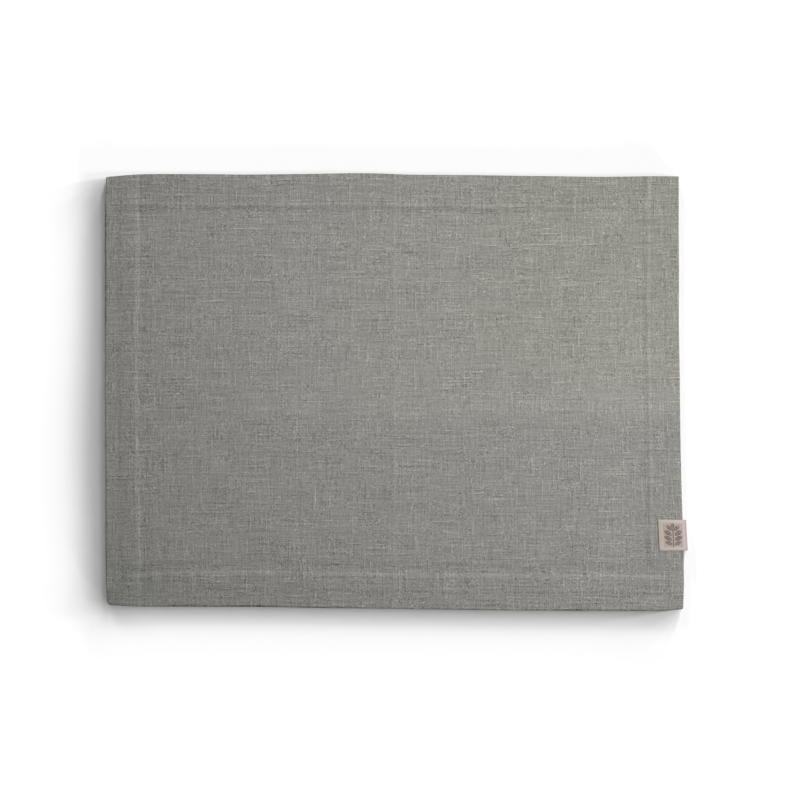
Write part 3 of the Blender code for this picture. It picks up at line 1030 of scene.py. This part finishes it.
# Painted shade: the lower left corner is made darker and slightly greener.
shadowed = times(
    tree, scaled(tree, plain_u, -195.0, -240.0), scaled(tree, plain_v, -125.0, -165.0)
)
tone = layered(tree, tone, shadowed, CORNER_SHADE)
# Painted light: the upper right quarter is given a warmer, yellower tint.
warm_light = times(
    tree,
    scaled(tree, plain_u, -70.0, 190.0, smooth=False),
    scaled(tree, plain_v, -30.0, 48.0, smooth=False),
)
print("the dull corner is darker by", -CORNER_SHADE)

# %% Light and dark flecks
Fleck = namedtuple("Fleck", "thread run length seed strength")
FLECKS = [
    Fleck(woven.warp, v, 3.0, 3.0, 0.68), Fleck(woven.weft, u, 3.4, 6.0, 0.68),
    Fleck(woven.warp, v, 2.4, 13.0, -0.48), Fleck(woven.weft, u, 2.8, 16.0, -0.48),
]
FLECK_APART = 1.9
FLECK_SHADE = 0.008

for fleck in FLECKS:
    aside = times(tree, fleck.thread, FLECK_APART)
    along = sums(tree, "DIVIDE", fleck.run, fleck.length)
    lump = cloudy(tree, pair(tree, aside, along, fleck.seed), 1.0, 1.0)
    tone = sums(tree, "ADD", tone, scaled(tree, lump, 0.69, 0.78, 0.0, fleck.strength))
tone = sums(tree, "ADD", tone, FLECK_SHADE)
print("kinds of flecks:", len(FLECKS))

# %% The linen's colour
YARN_COLD, YARN_WARM = (0.239, 0.236, 0.2195, 1), (0.243, 0.235, 0.2175, 1)
# The tints of the painted warm light and of the painted shade in the lower left corner.
WARM_LIGHT_TINT, CORNER_SHADE_TINT = (0.241, 0.2375, 0.206, 1), (0.2335, 0.2385, 0.2155, 1)

warmth = cloudy(tree, pair(tree, plain_u, plain_v, 12.0), 0.5, 2.0)
yarn_colour = blend_colours(tree, warmth, YARN_COLD, YARN_WARM)
yarn_colour = blend_colours(tree, warm_light, yarn_colour, WARM_LIGHT_TINT)
yarn_colour = blend_colours(tree, shadowed, yarn_colour, CORNER_SHADE_TINT)
# Painted shade: the colour is made darker in the hollows between the threads.
hollow_shade = scaled(tree, woven.relief, 0.0, 0.6, 0.80, 1.04)
shade = times(tree, sums(tree, "ADD", tone, 1.0), hollow_shade)
link_finish(tree, shader, shaded(tree, yarn_colour, shade), woven.relief, 0.5, 0.15)
mat_cloth.data.materials.append(linen)
print("nodes in the linen:", len(tree.nodes))

# %% [markdown]
# ## The label's tape
#
# The tape is a fine cotton in a light warm beige. A small sprig of leaves on a square field
# of dots is printed on it in thin brown-grey ink: each leaf is the overlap of two round
# shapes, drawn with a distance to its middle line. The ink is patchy, because it sits on
# the threads. The tape is paler at its rims and duller towards the sewn end, and its fold is
# painted darker, as shade where it turns under the mat's edge. An image would be easier,
# but nodes stay sharp at any distance.

# %% Tape material
TAPE_COLOUR = (0.55, 0.485, 0.44, 1)
TAPE_PITCH_U, TAPE_PITCH_V = 0.42, 0.38

tape, tree, shader = new_finish("cotton_tape", 0.85, 0.1, TAPE_COLOUR)
plain_u, plain_v, u, v = cloth_place(tree, 0.25, 0.12)
woven = weave(tree, u, v, TAPE_PITCH_U, TAPE_PITCH_V, 0.05, 5.0, 0.14)
PRINT_MIDDLE = LABEL_TAPE_LENGTH - 15.15
print("the print's middle lies", round(PRINT_MIDDLE, 1), "mm along the tape")

# %% The printed sprig
Leaf = namedtuple("Leaf", "across up lean long wide")
LEAVES = [
    Leaf(0.0, 8.3, 90, 2.7, 1.5), Leaf(-3.0, 6.3, 138, 3.6, 1.6), Leaf(3.1, 6.1, 42, 3.6, 1.6),
    Leaf(-4.3, 2.0, 146, 4.2, 1.9), Leaf(4.3, 1.9, 34, 4.2, 1.9),
    Leaf(-4.3, -2.7, 150, 4.2, 1.9), Leaf(4.4, -2.8, 30, 4.2, 1.9),
    Leaf(-3.8, -7.0, 156, 3.8, 1.6), Leaf(3.8, -7.1, 24, 3.8, 1.6),
]


def leaf_mask(tree, leaf):
    """1 inside a leaf that is pointed at both ends, 0 outside."""
    # On the upper leg the tape runs back towards the mat, so its U points left.
    across = sums(tree, "SUBTRACT", PRINT_MIDDLE - leaf.across, plain_u)
    up = sums(tree, "SUBTRACT", plain_v, leaf.up)
    cosine, sine = float(np.cos(np.radians(leaf.lean))), float(np.sin(np.radians(leaf.lean)))
    run = sums(tree, "MULTIPLY_ADD", across, cosine, times(tree, up, sine))
    aside = sums(tree, "MULTIPLY_ADD", across, -sine, times(tree, up, cosine))
    aside = distance(tree, aside)
    share = sums(tree, "DIVIDE", run, leaf.long)
    room = sums(tree, "SUBTRACT", 1.0, times(tree, share, share))
    edge = sums(tree, "SUBTRACT", times(tree, room, leaf.wide), aside)
    body = scaled(tree, edge, -0.05, 0.15)
    vein = scaled(tree, aside, 0.1, 0.3, 0.4, 1.0)
    return times(tree, body, vein)


ink = 0.0
for leaf in LEAVES:
    ink = sums(tree, "MAXIMUM", leaf_mask(tree, leaf), ink)
from_stem = distance(tree, plain_u, PRINT_MIDDLE)
stem = scaled(tree, from_stem, 0.3, 0.55, 1.0, 0.0)
stem_ends = scaled(tree, distance(tree, plain_v, -2.2), 8.3, 8.6, 1.0, 0.0)
ink = sums(tree, "MAXIMUM", ink, times(tree, stem, stem_ends))
print("leaves:", len(LEAVES))

# %% The dotted field and the patchy ink
DOT_STEP = 1.5

wave_u = sums(tree, "SINE", times(tree, plain_u, 2 * np.pi / DOT_STEP))
wave_v = sums(tree, "SINE", times(tree, plain_v, 2 * np.pi / DOT_STEP))
dots = scaled(tree, distance(tree, times(tree, wave_u, wave_v)), 0.20, 0.60, 0.0, 0.70)
field_u = scaled(tree, from_stem, 7.9, 8.3, 1.0, 0.0)
field_v = scaled(tree, distance(tree, plain_v), 10.5, 10.9, 1.0, 0.0)
ink = sums(tree, "MAXIMUM", ink, times(tree, dots, times(tree, field_u, field_v)))
patchy = cloudy(tree, pair(tree, plain_u, plain_v, 1.0), 1.1, 3.0, 0.65)
ink = times(tree, ink, scaled(tree, patchy, 0.30, 0.60, 0.55, 1.0))
print("dots every", DOT_STEP, "mm")

# %% The tape's colour
COTTON_LIGHT, COTTON_DARK = (0.492, 0.408, 0.384, 1), (0.470, 0.394, 0.372, 1)
COTTON_AGED, INK = (0.395, 0.352, 0.308, 1), (0.108, 0.076, 0.064, 1)
RIM_INNER, RIM_OUTER = LABEL_HEIGHT / 2 - 1.6, LABEL_HEIGHT / 2 - 0.7

colour = blend_colours(tree, patchy, COTTON_LIGHT, COTTON_DARK)
aged = scaled(tree, plain_u, PRINT_MIDDLE - 7.0, PRINT_MIDDLE + 10.0, smooth=False)
colour = blend_colours(tree, aged, colour, COTTON_AGED)
colour = blend_colours(tree, ink, colour, INK)
fold_u = float(lengths[int(np.argmax([out for out, high in path]))])
# Painted shade: the tape is made darker just past its fold, where it turns under the edge.
turned = scaled(tree, distance(tree, plain_u, fold_u + 1.4), 0.5, 1.1, 0.80, 1.0)
rim = scaled(tree, distance(tree, plain_v), RIM_INNER, RIM_OUTER, 1.0, 1.07)
# Painted shade: the colour is made darker in the hollows between the threads.
hollow_shade = scaled(tree, woven.relief, 0.0, 0.6, 0.88, 1.03)
shade = times(tree, sums(tree, "ADD", woven.tone, 1.0), hollow_shade)
for part in (turned, rim, shade):
    colour = shaded(tree, colour, part)
link_finish(tree, shader, colour, woven.relief, 0.4, 0.08)
label.data.materials.append(tape)
print("nodes in the tape:", len(tree.nodes))

# %% [markdown]
# ## The threads
#
# Sewing thread is twisted, so fine slanting stripes run round it, a light and a dark one by
# turns. One sine along a slanting direction of Object coordinates draws them on any stitch,
# as relief and in the colour, where the dark stripe in each groove is painted shade.

# %% Thread materials
TWIST = 0.28


def thread_finish(name, light, dark):
    """Twisted sewing thread, with fine slanting stripes."""
    material, tree, shader = new_finish(name, 0.7, 0.15, light)
    source = tree.nodes.new("ShaderNodeTexCoord").outputs["Object"]
    split = tree.nodes.new("ShaderNodeSeparateXYZ")
    tree.links.new(source, split.inputs[0])
    slant = sums(tree, "ADD", split.outputs[0], split.outputs[1])
    slant = sums(tree, "ADD", slant, split.outputs[2])
    twist = sums(tree, "SINE", times(tree, slant, 2 * np.pi / (TWIST * MM)))
    # Painted shade: the colour is darker where the twist's relief is low.
    share = layered(tree, cloudy(tree, source, 900.0, 2.0), twist, 0.3)
    link_finish(tree, shader, blend_colours(tree, share, dark, light), twist, 0.5, 0.05)
    return material


grey_thread = thread_finish("grey_thread", (0.31, 0.305, 0.275, 1), (0.23, 0.226, 0.203, 1))
beige_thread = thread_finish("beige_thread", (0.52, 0.44, 0.41, 1), (0.42, 0.355, 0.33, 1))
hem_stitches.data.materials.append(grey_thread)
under_stitches.data.materials.append(grey_thread)
label_stitches.data.materials.append(beige_thread)
print("materials:", sorted(m.name for m in bpy.data.materials if m.users))

# %% [markdown]
# ## Table and light
#
# The mat lies on a plain white table under an even sky. Two soft boxes, a strong one at the
# right and a weak one behind, light the mat's pieces alone. The wide soft shadow at the left
# and lower edges comes from light that skims over the table. One sun that low would draw a
# hard edge, so fourteen of them share the work, linked to the table alone.

# %% The table
# The stitches stand a little proud of the flap, and the mat rests on them.
THREAD_PROUD = 0.07
TABLE_WHITE = 0.8

bm = bmesh.new()
bmesh.ops.create_grid(bm, x_segments=1, y_segments=1, size=8.0)
bmesh.ops.translate(bm, verts=bm.verts, vec=(0, 0, -THREAD_PROUD * MM))
table = new_piece(bm, "table_top")
white, tree, shader = new_finish("white_table", 0.8, 0.0, (*[TABLE_WHITE] * 3, 1))
shader.inputs["Specular IOR Level"].default_value = 0.0
source = tree.nodes.new("ShaderNodeTexCoord").outputs["Object"]
soft = cloudy(tree, source, 3.0, 2.0)
paint = blend_colours(tree, soft, (0.79, 0.79, 0.79, 1), (0.81, 0.81, 0.81, 1))
tree.links.new(paint, shader.inputs["Base Color"])
table.data.materials.append(white)
print("table top at, mm:", -THREAD_PROUD)


# %% Helpers for lights
def light_only(light, name, pieces):
    """Let a light fall on these pieces alone."""
    group = bpy.data.collections.new(name)
    for piece in pieces:
        group.objects.link(piece)
    light.light_linking.receiver_collection = group


def aim(light, place):
    """Put a light in its place and turn it to the middle of the mat."""
    light.location = place
    light.rotation_euler = (Vector() - place).to_track_quat("-Z", "Y").to_euler()


def from_sky(far, elevation, azimuth):
    """A place this far from the mat, by its height over the table and its direction."""
    e, a = np.radians(elevation), np.radians(azimuth)
    return Vector((np.cos(e) * np.cos(a), np.cos(e) * np.sin(a), np.sin(e))) * far


PIECES = [mat_cloth, label, hem_stitches, under_stitches, label_stitches]
print("pieces to light:", len(PIECES))

# %% The soft boxes
SoftBox = namedtuple("SoftBox", "name elevation azimuth far size power")
SOFT_BOXES = [
    SoftBox("side_box", 48, 0, 1.25, 0.7, 13.5), SoftBox("back_box", 55, 90, 0.7, 0.5, 2.15),
]
for row in SOFT_BOXES:
    data = bpy.data.lights.new(row.name, "AREA")
    data.shape, data.size, data.energy = "SQUARE", row.size, row.power
    box = bpy.data.objects.new(row.name, data)
    bpy.context.scene.collection.objects.link(box)
    aim(box, from_sky(row.far, row.elevation, row.azimuth))
    box.visible_camera = False
    light_only(box, f"lit_by_{row.name}", PIECES)
print("soft boxes:", len(SOFT_BOXES))

# %% The low suns
Skim = namedtuple("Skim", "elevation azimuth glow")
SKIMS = [
    Skim(1.85, 10, 0.06), Skim(1.85, 70, 0.055), Skim(2.65, -50, 0.075), Skim(2.65, 30, 0.06),
    Skim(2.65, 50, 0.04), Skim(3.7, 10, 0.07), Skim(5.2, -10, 0.09), Skim(5.3, 50, 0.05),
    Skim(5.3, 70, 0.055), Skim(5.3, 110, 0.085), Skim(7.2, 10, 0.075), Skim(7.4, 30, 0.045),
    Skim(7.4, 70, 0.045), Skim(10.0, 70, 0.065),
]
SKIM_SPREAD = 0.7

for k, row in enumerate(SKIMS):
    data = bpy.data.lights.new(f"skim_{k}", "SUN")
    data.angle = np.radians(SKIM_SPREAD * row.elevation)
    data.energy = np.pi * row.glow / TABLE_WHITE / np.sin(np.radians(row.elevation))
    skim = bpy.data.objects.new(f"skim_{k}", data)
    bpy.context.scene.collection.objects.link(skim)
    aim(skim, from_sky(3.0, row.elevation, row.azimuth))
    light_only(skim, f"lit_by_skim_{k}", [table])
print("low suns:", len(SKIMS), "glow on the table:", round(sum(s.glow for s in SKIMS), 2))

# %% The sky
SKY = 0.22

world = bpy.data.worlds.new("studio")
world.use_nodes = True
bpy.context.scene.world = world
sky = world.node_tree.nodes["Background"]
sky.inputs["Color"].default_value = (1, 1, 1, 1)
sky.inputs["Strength"].default_value = SKY
print("sky strength:", SKY)

# %% [markdown]
# ## The camera
#
# The photo looks straight down with a long lens. One pixel of an 800 pixel frame is
# 0.868 mm on the cloth, which fixes the height for a 100 mm lens. The cloth lies about
# 2 mm over the table, so the camera is raised by as much.

# %% Camera
PIXEL = 0.868
FRAME_WIDTH = 800 * PIXEL * MM
CAMERA_MIDDLE = Vector((3.56 * MM, -6.69 * MM))
CAMERA_RISE = 0.002

camera_data = bpy.data.cameras.new("camera")
camera_data.lens, camera_data.sensor_width = 100.0, 36.0
camera = bpy.data.objects.new("camera", camera_data)
bpy.context.scene.collection.objects.link(camera)
height = FRAME_WIDTH * camera_data.lens / camera_data.sensor_width
camera.location = (CAMERA_MIDDLE.x, CAMERA_MIDDLE.y, height + CAMERA_RISE)
bpy.context.scene.camera = camera
bpy.context.scene.view_settings.view_transform = "Standard"
print("camera height:", round(height, 3))

# %% [markdown]
# ## Handing the pieces to the frame
#
# The visual pieces take the places of the two solids and ride with the object's only body.

# %% Ride and replace
for piece in PIECES:
    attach(piece, "root")
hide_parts("mat_cloth")
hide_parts("side_label")
print("pieces:", [piece.name for piece in PIECES])
